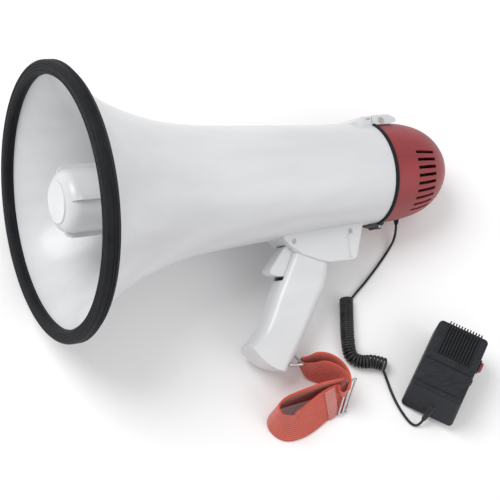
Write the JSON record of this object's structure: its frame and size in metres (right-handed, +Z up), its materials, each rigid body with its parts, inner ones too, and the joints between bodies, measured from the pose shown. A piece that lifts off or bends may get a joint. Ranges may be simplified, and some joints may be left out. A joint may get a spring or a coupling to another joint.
{
  "type": "handheld megaphone",
  "caption": "White handheld megaphone lying on its side, with a red vented rear cap, pistol grip, red wrist strap and a black hand microphone on a curly cord.",
  "frame": {"origin": "middle of the footprint on the table top", "axes": "+Z up from the table; +X from the horn's mouth towards the rear cap, along the horn's axis as seen from above; the grip and the microphone lie towards -Y"},
  "size_m": [0.405, 0.3526, 0.2264],
  "materials": {
    "white_shell": "glossy moulded ABS",
    "red_cap": "satin moulded ABS",
    "black_rubber": "dull rubber",
    "disc_foil": "printed metal foil",
    "inner_plastic": "satin moulded plastic",
    "steel": "plated steel",
    "magnet": "black painted ferrite",
    "copper": "enamelled copper wire",
    "board_green": "solder mask over glass epoxy",
    "cell_wrap": "printed shrink wrap",
    "mic_black": "fine-grained satin ABS",
    "button_red": "glossy moulded plastic",
    "strap_red": "woven polyester webbing",
    "cord_black": "smooth soft PVC"
  },
  "bodies": {
    "housing": {"horn_shell": "white_shell", "rim_bumper": "black_rubber", "horn_nose": "white_shell", "nose_disc": "disc_foil", "tone_tube": "white_shell", "throat_ring": "white_shell", "driver_diaphragm": "inner_plastic", "voice_coil": "copper", "top_plate": "steel", "magnet_ring": "magnet", "pole_yoke": "steel", "driver_cover": "inner_plastic", "battery_tray": "inner_plastic", "battery_cells": "cell_wrap", "battery_contacts": "steel", "seam_gasket": "black_rubber", "hinge_base": "inner_plastic", "hinge_pin": "steel", "latch_base": "white_shell", "handle_near": "white_shell", "handle_far": "white_shell", "trigger_pin": "steel", "trigger_switch": "inner_plastic", "siren_switch": "inner_plastic", "handle_screws": "steel", "mic_back_shell": "mic_black", "mic_front_shell": "mic_black", "mic_grille": "mic_black", "mic_capsule": "steel", "mic_board": "board_green", "mic_switch": "inner_plastic", "volume_pot": "steel", "button_collar": "mic_black", "mic_clip": "mic_black", "mic_screws": "steel", "mic_relief": "cord_black", "cord_lead_cap": "cord_black", "cord_curly": "cord_black", "cord_lead_mic": "cord_black", "wrist_strap": "strap_red", "tri_glide": "steel"},
    "trigger": {"trigger": "white_shell"},
    "cap": {"rear_cap": "red_cap", "amplifier_board": "board_green", "board_parts": "inner_plastic", "cord_gland": "black_rubber", "hinge_leaf": "inner_plastic", "latch_pins": "steel"},
    "latch": {"latch_lever": "white_shell"},
    "strap_bail": {"bail": "steel"},
    "siren_slide": {"siren_slider": "button_red"},
    "talk_button": {"ptt_button": "button_red"},
    "volume": {"volume_wheel": "mic_black"}
  },
  "joints": [
    {"name": "trigger_squeeze", "type": "hinge", "parent": "housing", "child": "trigger", "pos_m": [0.03039, 0.00606, 0.04825], "axis": [0.1915, -0.3616, 0.9125], "range_deg": [0, 9], "stiffness_Nm_per_rad": 1.2, "springref_deg": -20.05},
    {"name": "cap_open", "type": "hinge", "parent": "housing", "child": "cap", "pos_m": [0.12363, 0.01557, 0.03245], "axis": [-0.1915, 0.3616, -0.9125], "range_deg": [0, 100], "deforming": ["cord_lead_cap"]},
    {"name": "latch_lift", "type": "hinge", "parent": "cap", "child": "latch", "pos_m": [0.1386, 0.10526, 0.06485], "axis": [-0.1915, 0.3616, -0.9125], "range_deg": [0, 8], "stiffness_Nm_per_rad": 0.4, "springref_deg": -17.19},
    {"name": "bail_swing", "type": "hinge", "parent": "housing", "child": "strap_bail", "pos_m": [0.0009, -0.08764, 0.0173], "axis": [-0.1915, 0.3616, -0.9125], "range_deg": [0, 40], "deforming": ["wrist_strap"]},
    {"name": "siren_slide", "type": "slide", "parent": "housing", "child": "siren_slide", "axis": [0.4075, 0.875, 0.2613], "range_m": [0, 0.0045]},
    {"name": "talk_press", "type": "slide", "parent": "housing", "child": "talk_button", "axis": [-0.7024, 0.6903, -0.1736], "range_m": [0, 0.003], "stiffness_N_per_m": 300, "springref_m": -0.002},
    {"name": "volume_turn", "type": "hinge", "parent": "housing", "child": "volume", "pos_m": [0.15666, -0.14217, 0.02781], "axis": [-0.1964, 0.0465, 0.9794], "range_deg": [0, 270]}
  ]
}
